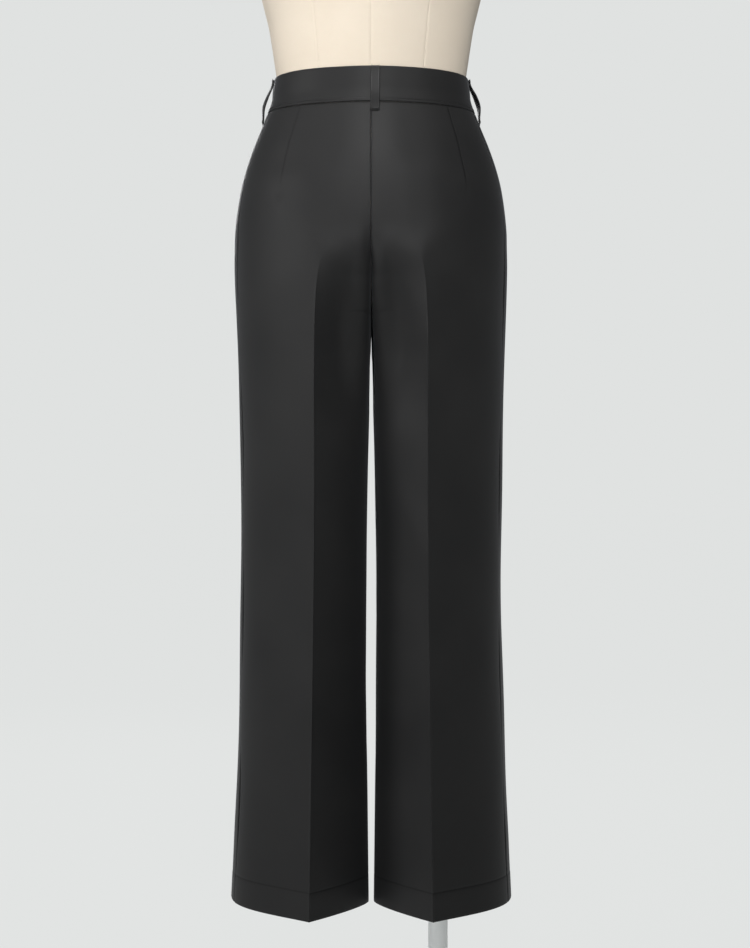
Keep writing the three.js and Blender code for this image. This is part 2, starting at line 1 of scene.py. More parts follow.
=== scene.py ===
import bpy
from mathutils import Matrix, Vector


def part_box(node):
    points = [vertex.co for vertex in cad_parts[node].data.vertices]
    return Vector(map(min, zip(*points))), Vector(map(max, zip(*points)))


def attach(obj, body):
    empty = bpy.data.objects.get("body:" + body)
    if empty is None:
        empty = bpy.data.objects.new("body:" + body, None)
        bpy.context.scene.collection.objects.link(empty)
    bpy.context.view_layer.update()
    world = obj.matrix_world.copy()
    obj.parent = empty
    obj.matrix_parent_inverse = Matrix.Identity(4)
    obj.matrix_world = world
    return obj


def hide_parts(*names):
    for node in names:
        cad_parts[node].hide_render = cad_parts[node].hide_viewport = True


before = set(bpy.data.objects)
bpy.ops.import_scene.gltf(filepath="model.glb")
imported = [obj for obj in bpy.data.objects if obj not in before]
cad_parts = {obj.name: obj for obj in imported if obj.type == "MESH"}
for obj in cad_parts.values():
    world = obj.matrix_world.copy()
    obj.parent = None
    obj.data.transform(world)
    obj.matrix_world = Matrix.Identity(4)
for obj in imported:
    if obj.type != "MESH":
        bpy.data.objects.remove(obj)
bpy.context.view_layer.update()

import math

import bmesh
import bpy
import numpy as np
from mathutils import Vector

# Trouser legs
# High-waisted wide legs in a smooth, near-black suiting. Each leg is cut as one back and one
# front, seamed at the side, the inseam and the centre, pressed to a crease front and back, and
# hung from the waistband over the form. The sections below are in millimetres.
MM = 0.001
WAIST_TOP = 1221  # above the floor
OUTSEAM = 1051
BAND = 45
RISE = 307
HEM_TURN = 35
BACK_SEAM_TURN = 201  # down from the waistband top, where the centre back seam turns under
FRONT_SEAM_TURN = 181
FORK_Y = 5
INSEAM_Y = 26
INSEAM_SETTLED = 450
LEG_SPLIT = (196, 275)
HANDLE = 0.38  # how far a section's curves keep their end directions, as a share
INSEAM_HANDLE = 0.16
INSEAM_HANDLE_SETTLED = 700
SIDE_SEAM_T = 0.8
CREASE_SOFT = 24  # above the pressed crease its bend is spread this far either way
CREASE_PRESSED = (196, 262)
HEM_DIP = 6
WAIST_DIP = 3
SEAM_OPEN = 0.1  # between the sewn edges of neighbouring pieces
CLOTH = 0.9  # one layer of the suiting

SECTION_COLUMNS = (
    "down", "side", "crease_x", "back", "back_rise", "back_fall", "front", "front_rise",
    "front_fall", "centre_back", "centre_front", "gap", "back_cleft", "front_cleft",
)


def oval(at, side, back, front):
    """The section row of a plain oval, its crease points lying on the oval."""
    share = 0.34
    height = math.sqrt(1 - share * share)
    back_slope = -math.degrees(math.atan(back / side * share / height))
    front_slope = -math.degrees(math.atan(front / side * share / height))
    return (
        at, side, share * side, back * height, back_slope, back_slope,
        front * height, front_slope, front_slope, back, front, 0.15, 0, 0,
    )


WAIST_TO_HIP = [  # down, side, back, front
    (0, 124.5, 97, 92),
    (18, 127, 98.5, 93.2),
    (28, 127.9, 99.3, 93.8),
    (38, 131, 101, 95),
    (45, 133.8, 102.5, 96),
    (64, 141.3, 107.5, 99.5),
    (90, 151.8, 114, 103.5),
    (116, 160.6, 120, 107),
]
HIP_TO_HEM = [
    (142, 167.3, 58, 119.5, -10, -14, 104, -9, -14, 124, 109, 0.15, 0, 0),
    (193, 174.2, 58, 126.5, -4, -13, 107.5, -6, -14, 129, 112, 0.15, 60, 60),
    (221, 174.9, 59, 129, 1, -15, 108.5, -2, -15, 129, 112, 0.15, 100, 80),
    (240, 175.2, 61, 130.5, 5, -17, 109, 3, -17, 129, 112, 0.15, 110, 86),
    (266, 174.8, 65.5, 131.5, 10, -20, 110, 9, -20, 129, 112, 0.15, 104, 83),
    (301, 173.8, 68, 132, 17, -24, 111, 16, -24, 129, 112, 0.3, 89, 72),
    (371, 171.7, 69.5, 130.5, 27, -28, 112, 26, -28, 129, 112, 0.95, 64, 46),
    (501, 168.2, 69.6, 125, 35, -32, 112.5, 34, -32, 129, 112, 4.3, 38, 12),
    (669, 167.8, 70.6, 119, 40, -34, 112.5, 40, -34, 129, 112, 6.3, 27, -16),
    (833, 171.5, 72.8, 117, 42, -35, 113, 42, -35, 129, 112, 5.6, 26, -26),
    (921, 174, 74, 117, 42, -35, 113.5, 42, -35, 129, 112, 4.5, 26, -26),
    (1051, 180.2, 76, 118.5, 42, -35, 115, 42, -35, 129, 112, 3, 26, -26),
]
TROUSER_ROWS = np.array([oval(*row) for row in WAIST_TO_HIP] + HIP_TO_HEM, float)


def smooth(value, start, end):
    """0 before start, 1 after end, and a smooth step between."""
    t = np.clip((value - start) / (end - start), 0, 1)
    return t * t * (3 - 2 * t)


def bump(value, centre, width):
    return np.exp(-(((value - centre) / width) ** 2))


def read(rows, at):
    """The section at one place, on a smooth curve through the rows."""
    last = len(rows) - 1
    k = int(np.clip(np.searchsorted(rows[:, 0], at, side="right") - 1, 0, last - 1))
    secants = np.diff(rows, axis=0) / np.diff(rows[:, 0])[:, None]

    def slope(j):
        return (secants[max(0, j - 1)] + secants[min(last - 1, j)]) / 2

    step = rows[k + 1, 0] - rows[k, 0]
    t = min(1, max(0, (at - rows[k, 0]) / step))
    blend = (
        (2 * t**3 - 3 * t**2 + 1) * rows[k] + (t**3 - 2 * t**2 + t) * step * slope(k)
        + (3 * t**2 - 2 * t**3) * rows[k + 1] + (t**3 - t**2) * step * slope(k + 1)
    )
    return dict(zip(SECTION_COLUMNS, blend))


def seam_depth(down, turn, depth, side):
    """The centre seam's depth, which turns under in a quarter of an ellipse to the fork."""
    sunk = min(1, max(0, (down - turn) / (RISE - turn)))
    fork = side * FORK_Y
    return fork + (depth - fork) * math.sqrt(1 - sunk * sunk)


def heading(degrees):
    return np.array([math.cos(math.radians(degrees)), math.sin(math.radians(degrees))])


def bend(start, start_way, end, end_way, start_handle=HANDLE, end_handle=HANDLE, steps=90):
    """A curve from start to end that leaves and arrives in the two directions."""
    chord = np.linalg.norm(end - start)
    a, b = start + start_way * start_handle * chord, end - end_way * end_handle * chord
    t = np.linspace(0, 1, steps + 1)[:, None]
    return (
        (1 - t) ** 3 * start + 3 * (1 - t) ** 2 * t * a + 3 * (1 - t) * t**2 * b + t**3 * end
    )


class HalfSection:
    """Half a section of the garment or the form: points, outward normals and the distances
    along it of its landmarks, from the centre back round to the centre front."""

    def __init__(self, row, turn, back_end, front_end, handle=HANDLE, soften=0.0):
        centre_back = np.array([row["gap"], back_end])
        back_round = np.array([row["gap"], max(back_end, row["back_cleft"])])
        back_crease = np.array([row["crease_x"], row["back"]])
        side = np.array([row["side"], 0])
        front_crease = np.array([row["crease_x"], -row["front"]])
        front_round = np.array([row["gap"], min(front_end, -row["front_cleft"])])
        centre_front = np.array([row["gap"], front_end])
        inner_back = [
            bend(back_round, heading(turn), back_crease, heading(row["back_rise"]), handle)
        ]
        inner_front = [
            bend(
                front_crease, heading(180 - row["front_rise"]),
                front_round, heading(180 - turn), HANDLE, handle,
            )
        ]
        if back_round[1] - centre_back[1] > 0.5:
            inner_back.insert(0, np.linspace(centre_back, back_round, 30))
        if centre_front[1] - front_round[1] > 0.5:
            inner_front.append(np.linspace(front_round, centre_front, 30))
        arcs = [
            *inner_back,
            bend(back_crease, heading(row["back_fall"]), side, heading(-90)),
            bend(side, heading(-90), front_crease, heading(180 - row["front_fall"])),
            *inner_front,
        ]
        ways = [np.gradient(arc, axis=0) for arc in arcs]
        self.points = np.concatenate(arcs)
        self.ways = np.concatenate([w / np.linalg.norm(w, axis=1)[:, None] for w in ways])
        steps = np.linalg.norm(np.diff(self.points, axis=0), axis=1)
        self.along = np.concatenate([[0], np.cumsum(steps)])
        self.soften = soften
        ends = np.cumsum([len(arc) for arc in arcs]) - 1
        first = len(inner_back) - 1
        self.crease = self.along[ends[first]]
        self.side = self.along[ends[first + 1]]
        self.front_crease = self.along[ends[first + 2]]
        self.end = self.along[-1]
        side_arc = len(arcs[first + 1])
        self.side_seam = self.along[ends[first] + 1 + int(SIDE_SEAM_T * (side_arc - 1))]

    def at(self, places):
        """x, y and the outward normal at distances along the section."""
        places = np.asarray(places, float)
        x, y = np.zeros(places.shape), np.zeros(places.shape)
        way = np.zeros((2, places.size))
        # where the crease is still soft, its corner is rounded by averaging along the section
        reach = np.zeros(places.shape)
        for crease in (self.crease, self.front_crease):
            reach += self.soften * np.exp(-(((places - crease) / (1.2 * self.soften + 1)) ** 2))
        reach = np.minimum(reach, np.minimum(places, self.end - places))
        shifts = np.linspace(-1, 1, 9)
        for shift in shifts:
            near = places + shift * reach
            x += np.interp(near, self.along, self.points[:, 0]) / len(shifts)
            y += np.interp(near, self.along, self.points[:, 1]) / len(shifts)
            for axis in (0, 1):
                way[axis] += np.interp(near + 0.3 * shift, self.along, self.ways[:, axis])
        way /= np.linalg.norm(way, axis=0)
        return x, y, -way[1], way[0]

    def where_x(self, x, front=False):
        """The distance along at which the outer part of the back or front reaches x."""
        low, high = (self.side, self.end) if front else (0, self.side)
        span = (self.along >= low) & (self.along <= high)
        xs, places = self.points[span, 0], self.along[span]
        order = np.argsort(xs, kind="stable")
        return float(np.interp(x, xs[order], places[order]))


def trouser_section(down):
    row = read(TROUSER_ROWS, down)
    row["gap"] = max(SEAM_OPEN / 2, row["gap"] - 0.1 * (1 - smooth(down, 300, 370)))
    back = seam_depth(down, BACK_SEAM_TURN, min(row["centre_back"], 129), 1)
    front = seam_depth(down, FRONT_SEAM_TURN, row["centre_front"], -1)
    inseam = smooth(down, RISE, INSEAM_SETTLED) * (INSEAM_Y - FORK_Y)
    handle = HANDLE + (INSEAM_HANDLE - HANDLE) * smooth(down, RISE, INSEAM_HANDLE_SETTLED)
    return HalfSection(
        row, 90 * smooth(down, *LEG_SPLIT), back + inseam, inseam - front, handle,
        soften=CREASE_SOFT * (1 - smooth(down, *CREASE_PRESSED)),
    )


def height_of(down, y):
    """Height above the floor: the waistband and the hem dip a little at the back and front."""
    waist = 1 - smooth(down, BAND, 130)
    hem = smooth(down, 700, OUTSEAM)
    waist_dip = WAIST_DIP * waist * np.minimum(1, np.abs(y) / 95)
    return WAIST_TOP - down - waist_dip - HEM_DIP * hem * np.clip(y / 118, 0, 1)


def spread(start, end, middle):
    """Places from start to end, close together near both ends where edges and creases turn."""
    near = np.array([0, 0.7, 1.6, 3.2, 6.0])
    near = near * min(1, (end - start) / 20)
    inner = np.linspace(start + near[-1], end - near[-1], middle + 2)[1:-1]
    return np.concatenate([start + near, inner, (end - near)[::-1]])


# The back darts run from the waistband towards the fullest part of the seat. They are placed
# as shares of the way from the crease to the side, at their top and at their end.
DART = {"left": (0.49, 0.5), "right": (0.56, 0.54)}
DART_END = 157
FRONT_DART = (0.36, 0.38)
FRONT_DART_END = 128
# how strongly the painted shade shows along each dart
DART_SHADE_STRENGTH = {
    ("back", "left"): 0.35, ("back", "right"): 1.0, ("front", "left"): 0.7, ("front", "right"): 0.7,
}


def dart_x(row, shares, end, down):
    share = shares[0] + (shares[1] - shares[0]) * min(1, max(0, (down - BAND) / (end - BAND)))
    return row["crease_x"] + (row["side"] - row["crease_x"]) * share


# Heights and half-widths of a panel's small forms: the pressed crease's ridge, the dart's
# sunken seam with the fold beside it, the sewn edges that turn in, and the soft waves.
CREASE_RIDGE, CREASE_WIDTH = 0.45, 1.1
CREASE_RIDGE_BEGINS = (215, 330)
DART_SUNK, DART_WIDTH = 0.55, 0.8
DART_FOLD, DART_FOLD_WIDTH = 0.15, 4
DART_FADE = 26
DART_END_FORMS = [  # height, half-width, how far past the dart's end, half-length
    (-0.9, 7, 3, 8),
    (0.8, 14, 22, 16),
]
EDGE_TURNS = [(0.45, 1.2), (1.5, 0.3)]  # depth and width of the turned edge at a seam
SOFT_WAVES = [  # height, millimetres down a radian, across a radian, share of the phase
    (0.55, 67, 41, 1),
    (0.45, 38, -55, 2.1),
]
WAVES_BEGIN, WAVES_CALM_DOWN = (60, 220), (960, 1010)
BAND_SEAM = 45.3
BAND_SEAM_SUNK = 0.8
HEM_LINE = OUTSEAM - HEM_TURN
HEM_LINE_SUNK = 0.4
HEM_PROUD = 0.25
HEM_EDGE = OUTSEAM - 1.6
BETWEEN_LEGS = (3, 12)
TOUCHING = ((236, 262), (352, 372))
LEGS_LEAN = 1.3

# Under the seat the cloth falls into a hollow between each crease and the centre seam
HOLLOW = {"back": 21, "front": 8}
HOLLOW_START = (214, 338)
HOLLOW_END = (342, 470)

# Soft folds of the hanging cloth, each a ridge or trough along a line seen from behind or in
# front: which leg, ends as x and height above the floor, half-width and height, millimetres.
FOLD_COLUMNS = ("leg", "x0", "z0", "x1", "z1", "width", "height")
BACK_FOLDS = [
    ("right", 64, 893, 33, 832, 11, 2.3),
    ("right", 50, 872, 22, 812, 12, -1.6),
    ("right", 30, 706, 68, 610, 15, 1.3),
    ("right", 60, 700, 96, 628, 16, -1.0),
    ("right", 24, 560, 58, 490, 18, 0.8),
    ("left", 66, 690, 26, 640, 14, 1.2),
    ("left", 98, 672, 52, 600, 17, -0.9),
    ("left", 58, 905, 30, 840, 14, 1.2),
    ("left", 44, 880, 20, 806, 12, -1.1),
    ("left", 30, 968, 84, 1010, 16, 1.0),
    ("right", 28, 962, 90, 1012, 16, 1.2),
    ("left", 110, 1000, 150, 940, 20, -0.9),
    ("right", 118, 1006, 152, 930, 20, -1.0),
    ("left", 120, 520, 150, 380, 24, 0.9),
    ("right", 128, 600, 148, 430, 24, 0.9),
    ("left", 24, 420, 54, 330, 20, 0.8),
    ("right", 30, 400, 56, 300, 20, -0.8),
    ("left", 100, 1052, 128, 1110, 16, -0.6),
    ("right", 90, 1060, 120, 1118, 16, -0.6),
]
FRONT_FOLDS = [
    ("left", 20, 925, 66, 965, 14, 1.4),
    ("left", 24, 900, 74, 922, 13, -1.2),
    ("right", 22, 930, 70, 960, 15, 1.3),
    ("right", 26, 898, 78, 930, 13, -1.1),
    ("left", 60, 700, 24, 630, 16, 1.1),
    ("right", 64, 686, 30, 620, 16, 1.2),
    ("left", 110, 660, 90, 540, 20, -0.9),
    ("right", 112, 700, 92, 560, 20, -0.8),
    ("left", 30, 440, 60, 330, 20, 0.8),
    ("right", 34, 420, 60, 300, 22, -0.8),
]


def fold_relief(folds, leg, x, z):
    relief = np.zeros_like(x)
    for fold in folds:
        f = dict(zip(FOLD_COLUMNS, fold))
        if f["leg"] != leg:
            continue
        start = np.array([f["x0"], f["z0"]], float)
        line = np.array([f["x1"], f["z1"]], float) - start
        length = np.linalg.norm(line)
        line /= length
        run = (x - start[0]) * line[0] + (z - start[1]) * line[1]
        off = -(x - start[0]) * line[1] + (z - start[1]) * line[0]
        fade = smooth(run, -0.35 * length, 0.3 * length) * smooth(
            run, 1.35 * length, 0.7 * length
        )
        relief += f["height"] * fade * np.exp(-((off / f["width"]) ** 2))
    return relief


def leg_rows():
    """Places of a panel's rows, down from the waistband top, closer at seam, fork and hem."""
    rows = [BAND_SEAM, 45.8, 46.6, 48, 50, 53]
    rows += list(np.arange(57, 197, 4.0))
    quarter = np.sin(np.radians(np.arange(0, 79, 2.5)))
    rows += list(BACK_SEAM_TURN + (RISE - BACK_SEAM_TURN) * quarter)
    rows += [305.2, 305.9, 306.4, 306.7, RISE, 307.4, 308.2, 309.5, 311.5, 314, 317.5]
    rows += list(np.arange(322, 402, 5.0))
    rows += list(np.arange(402, 1006, 7.0))
    rows += [HEM_LINE + step for step in (-6, -3, -1.4, -0.5, 0, 0.5, 1.4, 3)]
    rows += [1025, 1032, 1039, 1045, 1048.5, 1049.8, 1050.6, OUTSEAM]
    return rows


def panel_surface(part, leg):
    """Outer and inner points of one back or front, and its cloth coordinates in metres."""
    outer, inner, cloth, painted_groove_shade = [], [], [], []
    mirror = 1 if leg == "left" else -1
    wander = {"left": 0.7, "right": 2.9}[leg] + (0 if part == "back" else 1.7)
    for down in leg_rows():
        row = read(TROUSER_ROWS, down)
        half = trouser_section(down)
        at_seam = down < RISE - 0.01
        edge = 0 if at_seam else SEAM_OPEN / 2
        if part == "back":
            crease, dart_shares, dart_end, folds = half.crease, DART[leg], DART_END, BACK_FOLDS
            dart = half.where_x(dart_x(row, dart_shares, dart_end, down))
            first, last = edge, half.side_seam - SEAM_OPEN / 2
            places = np.concatenate([
                spread(first, crease, 14), spread(crease, dart, 7)[1:],
                spread(dart, last, 9)[1:],
            ])
        else:
            crease, dart_end, folds = half.front_crease, FRONT_DART_END, FRONT_FOLDS
            dart = half.where_x(dart_x(row, FRONT_DART, dart_end, down), front=True)
            first, last = half.side_seam + SEAM_OPEN / 2, half.end - edge
            places = np.concatenate([
                spread(first, dart, 14), spread(dart, crease, 7)[1:],
                spread(crease, last, 14)[1:],
            ])
        x, y, nx, ny = half.at(places)
        z = height_of(down, y)
        pressed = smooth(down, *CREASE_RIDGE_BEGINS)
        darted = 1 - smooth(down, dart_end - DART_FADE, dart_end)
        seam_off = np.minimum(places - first, last - places)
        at_centre = (places - first < last - places) == (part == "back")
        deep = np.where(at_centre, 1 - smooth(down, 275, 300) * (1 - smooth(down, 420, 520)), 1)
        tucked = deep * sum(turn * bump(seam_off, 0, width) for turn, width in EDGE_TURNS)
        relief = CREASE_RIDGE * pressed * bump(places, crease, CREASE_WIDTH)
        relief -= DART_SUNK * darted * bump(places, dart, DART_WIDTH)
        relief += DART_FOLD * darted * bump(places, dart - DART_FOLD_WIDTH, DART_FOLD_WIDTH)
        for height, width, past, length in DART_END_FORMS:
            relief += height * bump(places, dart, width) * bump(down, dart_end + past, length)
        relief += fold_relief(folds, leg, x, z)
        inward = places < crease if part == "back" else places > crease
        share = np.clip((row["crease_x"] - x) / row["crease_x"], 0, 1)
        later = 20 * (1 - smooth(share, 0, 0.45)) + 26 * smooth(share, 0.6, 0.95)
        hollow = HOLLOW[part] * smooth(down - later, *HOLLOW_START)
        hollow *= 1 - smooth(down, *HOLLOW_END)
        relief -= hollow * inward * 2.12 * share * (1 - share**3)
        calm = smooth(down, *WAVES_BEGIN) * (1 - 0.6 * smooth(down, *WAVES_CALM_DOWN))
        for height, run, across, phase in SOFT_WAVES:
            wave = np.sin(down / run + (places - crease) / across + phase * wander)
            relief += height * calm * wave
        relief -= BAND_SEAM_SUNK * bump(down, BAND_SEAM, 1.6)
        relief -= HEM_LINE_SUNK * bump(down, HEM_LINE, 1.3)
        relief += HEM_PROUD * smooth(down, HEM_LINE - 4, HEM_LINE + 3)
        relief -= 0.5 * smooth(down, HEM_EDGE, OUTSEAM)
        # between the legs the cloth keeps clear of the other leg, and both lie over to one side
        between = 1 - smooth(x, *BETWEEN_LEGS)
        relief = relief * (1 - between) + np.minimum(relief, 0) * between
        touching = smooth(down, *TOUCHING[0]) * (1 - smooth(down, *TOUCHING[1]))
        relief += mirror * LEGS_LEAN * between * touching * (bump(y, 52, 17) - bump(y, -45, 15))
        layers = 1 + smooth(down, HEM_LINE - 0.5, HEM_LINE + 0.5)
        depth = CLOTH * layers - 0.7 * smooth(down, HEM_EDGE, OUTSEAM)
        # the sewn edges turn in, straight into the body at the centre seam so that it stays shut
        fork_seam = at_centre & (down < RISE)
        tuck_x = np.where(fork_seam, 0, nx) * tucked
        tuck_y = np.where(fork_seam, 1 if part == "back" else -1, ny) * tucked
        x, y = x - tuck_x, y - tuck_y
        outer.append(np.stack([mirror * (x + nx * relief), y + ny * relief, z], 1))
        inset = relief - depth
        inner.append(np.stack([mirror * (x + nx * inset), y + ny * inset, z], 1))
        cloth.append(np.stack([(places - crease) * MM, np.full(len(places), -down * MM)], 1))
        # painted shade: the suiting's colour is darkened along the seams, the darts, the hem line
        # and the waistband seam, for the shade in their grooves; the grooves' relief itself is real
        sewn = deep * np.where(
            at_centre, 0.75 * bump(seam_off, 0, 0.45), 0.7 * bump(seam_off, 0, 0.6)
        )
        sewn = np.maximum(sewn, 0.95 * darted * bump(places, dart, 1.0) * DART_SHADE_STRENGTH[part, leg])
        sewn = np.maximum(sewn, 0.75 * bump(down, HEM_LINE, 0.7))
        painted_groove_shade.append(np.maximum(sewn, 0.9 * bump(down, BAND_SEAM, 1.2)))
    return np.array(outer), np.array(inner), np.array(cloth), np.array(painted_groove_shade)


def place_piece(name, mesh, sharp=48):
    """A smooth-shaded piece, sharp where its faces meet at more than so many degrees."""
    mesh.polygons.foreach_set("use_smooth", [True] * len(mesh.polygons))
    mesh.set_sharp_from_angle(angle=math.radians(sharp))
    piece = bpy.data.objects.new(name, mesh)
    bpy.context.scene.collection.objects.link(piece)
    return piece


def wall_mesh(name, outer, inner, cloth, painted_groove_shade, flip):
    """A closed wall between two grids of points, with the cloth's own coordinates as its UV and
    an attribute of painted shade, how much darker each point is painted in the sewn grooves."""
    rows, columns = outer.shape[:2]
    points = np.concatenate([outer.reshape(-1, 3), inner.reshape(-1, 3)]) * MM
    number = np.arange(rows * columns * 2).reshape(2, rows, columns)
    o, i = number

    def quads(a, b, c, d):
        return np.stack([a.ravel(), b.ravel(), c.ravel(), d.ravel()], 1)

    faces = np.concatenate([
        quads(o[:-1, :-1], o[1:, :-1], o[1:, 1:], o[:-1, 1:]),
        quads(i[:-1, :-1], i[:-1, 1:], i[1:, 1:], i[1:, :-1]),
        quads(o[0, :-1], o[0, 1:], i[0, 1:], i[0, :-1]),
        quads(o[-1, 1:], o[-1, :-1], i[-1, :-1], i[-1, 1:]),
        quads(o[1:, 0], o[:-1, 0], i[:-1, 0], i[1:, 0]),
        quads(o[:-1, -1], o[1:, -1], i[1:, -1], i[:-1, -1]),
    ])
    if flip:
        faces = faces[:, ::-1]
    mesh = bpy.data.meshes.new(name)
    mesh.from_pydata(points.tolist(), [], faces.tolist())
    flat = np.concatenate([cloth.reshape(-1, 2)] * 2)
    layer = mesh.uv_layers.new(name="cloth")
    corners = np.zeros(len(mesh.loops), int)
    mesh.loops.foreach_get("vertex_index", corners)
    layer.data.foreach_set("uv", flat[corners].ravel())
    sewn = mesh.attributes.new("painted_groove_shade", "FLOAT", "POINT")
    sewn.data.foreach_set("value", np.concatenate([painted_groove_shade.ravel()] * 2))
    return place_piece(name, mesh)


def start_material(name):
    material = bpy.data.materials.new(name)
    material.use_nodes = True
    nodes = material.node_tree.nodes
    return material, nodes, material.node_tree.links, nodes["Principled BSDF"]


def texture(nodes, links, kind, place, **values):
    """A texture node that reads a place, with its inputs named as in Blender."""
    node = nodes.new(f"ShaderNodeTex{kind}")
    for label, value in values.items():
        node.inputs[label].default_value = value
    links.new(place, node.inputs["Vector"])
    return node


def two_tones(nodes, links, source, low, high, low_at=0.0, high_at=1.0):
    """The colour between two tones that a texture picks."""
    ramp = nodes.new("ShaderNodeValToRGB")
    dark, light = ramp.color_ramp.elements
    dark.position, light.position = low_at, high_at
    dark.color, light.color = (*low, 1), (*high, 1)
    links.new(source, ramp.inputs["Fac"])
    return ramp.outputs["Color"]


def roughness_from(nodes, links, source, low, high):
    spread_out = nodes.new("ShaderNodeMapRange")
    spread_out.inputs["To Min"].default_value = low
    spread_out.inputs["To Max"].default_value = high
    links.new(source, spread_out.inputs["Value"])
    links.new(spread_out.outputs["Result"], nodes["Principled BSDF"].inputs["Roughness"])


def bump_from(nodes, links, source, strength, distance):
    relief = nodes.new("ShaderNodeBump")
    relief.inputs["Strength"].default_value = strength
    relief.inputs["Distance"].default_value = distance
    links.new(source, relief.inputs["Height"])
    links.new(relief.outputs["Normal"], nodes["Principled BSDF"].inputs["Normal"])


def suiting():
    """Near-black suiting: a fine twill with a soft nap and a faint sheen, with painted shade in its
    sewn grooves.
    """
    material, nodes, links, shader = start_material("charcoal twill suiting")
    shader.inputs["Sheen Weight"].default_value = 0.05
    shader.inputs["Sheen Roughness"].default_value = 0.42
    shader.inputs["Sheen Tint"].default_value = (0.9, 0.93, 1.0, 1)
    shader.inputs["Specular IOR Level"].default_value = 0.14
    uv = nodes.new("ShaderNodeUVMap")
    uv.uv_map = "cloth"
    place = uv.outputs["UV"]
    cloud = texture(nodes, links, "Noise", place, Scale=9, Detail=4)
    tone = two_tones(
        nodes, links, cloud.outputs["Fac"],
        (0.0116, 0.0116, 0.0118), (0.0152, 0.0151, 0.0151), 0.3, 0.72,
    )
    yarn = texture(nodes, links, "Wave", place, Scale=780, Distortion=1.2, Detail=1)
    yarn.bands_direction = "DIAGONAL"
    fibre = texture(nodes, links, "Noise", place, Scale=1500, Detail=3)
    grain = nodes.new("ShaderNodeMath")
    grain.operation = "MULTIPLY_ADD"
    grain.inputs[1].default_value = 0.5
    links.new(yarn.outputs["Fac"], grain.inputs[0])
    links.new(fibre.outputs["Fac"], grain.inputs[2])
    bump_from(nodes, links, grain.outputs["Value"], 0.32, 0.00012)
    darker = nodes.new("ShaderNodeMix")
    darker.data_type = "RGBA"
    darker.blend_type = "MULTIPLY"
    darker.inputs["Factor"].default_value = 0.35
    links.new(tone, darker.inputs["A"])
    links.new(grain.outputs["Value"], darker.inputs["B"])
    # painted shade: the base colour is mixed towards near-black by the per-point attribute, for the
    # shade in seams, darts and stitch lines
    sewn = nodes.new("ShaderNodeAttribute")
    sewn.attribute_name = "painted_groove_shade"
    groove_shade_mix = nodes.new("ShaderNodeMix")
    groove_shade_mix.data_type = "RGBA"
    groove_shade_mix.inputs["B"].default_value = (0.0022, 0.0022, 0.0023, 1)
    links.new(sewn.outputs["Fac"], groove_shade_mix.inputs["Factor"])
    links.new(darker.outputs["Result"], groove_shade_mix.inputs["A"])
    links.new(groove_shade_mix.outputs["Result"], shader.inputs["Base Color"])
    roughness_from(nodes, links, cloud.outputs["Fac"], 0.5, 0.62)
    return material


SUITING = suiting()


def made_of(piece, material):
    piece.data.materials.clear()
    piece.data.materials.append(material)
    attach(piece, "root")
    return piece


for part in ("back", "front"):
    for leg in ("left", "right"):
        surface = panel_surface(part, leg)
        piece = wall_mesh(f"cloth_{part}_{leg}", *surface, flip=leg == "right")
        made_of(piece, SUITING)
        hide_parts(f"{part}_panel_{leg}")

# Waistband
# A straight band of the same suiting, doubled and stiffened, sewn to the tops of the panels
# and edge-stitched along its lower seam. The wearer's right end laps over the left.
BAND_CLOTH = 2.2
BAND_PROUD = 0.3
OVERLAP = 31
OVERLAP_STEP = 2.7
STITCH_DOWN = 40.8
BAND_EDGE_ROUND, BAND_EDGE_WIDTH = 0.75, 0.6
STITCH_SUNK = 0.16
BAND_ROWS = [
    0, 0.25, 0.7, 1.5, 3, 6, *range(10, 38, 3),
    39.4, 40.2, STITCH_DOWN, 41.4, 42.2, 43.2, 44, 44.5, 44.85,
]


def band_surface(path_at):
    outer, inner, cloth, painted_groove_shade = [], [], [], []
    for down in BAND_ROWS:
        x, y, nx, ny, along, step = path_at(trouser_section(down))
        edge = min(down, BAND_ROWS[-1] - down)
        relief = BAND_PROUD + step - BAND_EDGE_ROUND * bump(edge, 0, BAND_EDGE_WIDTH)
        relief -= STITCH_SUNK * bump(down, STITCH_DOWN, 0.7)
        relief += 0.12 * np.sin(along / 17 + down / 19) * min(1, edge / 6)
        z = height_of(down, y)
        outer.append(np.stack([x + nx * relief, y + ny * relief, z], 1))
        inset = step - BAND_CLOTH + 0.6 * bump(edge, 0, BAND_EDGE_WIDTH)
        inner.append(np.stack([x + nx * inset, y + ny * inset, z], 1))
        cloth.append(np.stack([-np.full(len(x), down * MM), along * MM], 1))
        # painted shade: darker under the waistband's lower edge and along its stitch line
        band_edge_shade = max(0.8 * bump(down, BAND_ROWS[-1], 0.5), 0.45 * bump(down, STITCH_DOWN, 0.7))
        painted_groove_shade.append(np.full(len(x), band_edge_shade))
    return np.array(outer), np.array(inner), np.array(cloth), np.array(painted_groove_shade)


def band_back(half):
    places = spread(0, half.side_seam - SEAM_OPEN / 2, 40)
    x, y, nx, ny = half.at(places)
    x = x - x[0]
    x, nx = np.concatenate([-x[:0:-1], x]), np.concatenate([-nx[:0:-1], nx])
    y, ny = np.concatenate([y[:0:-1], y]), np.concatenate([ny[:0:-1], ny])
    along = np.concatenate([-places[:0:-1], places])
    return x, y, nx, ny, along, np.zeros(len(x))


def band_front_left(half):
    places = spread(half.side_seam + SEAM_OPEN / 2, half.end, 40)
    x, y, nx, ny = half.at(places)
    return x, y, nx, ny, places, np.zeros(len(x))


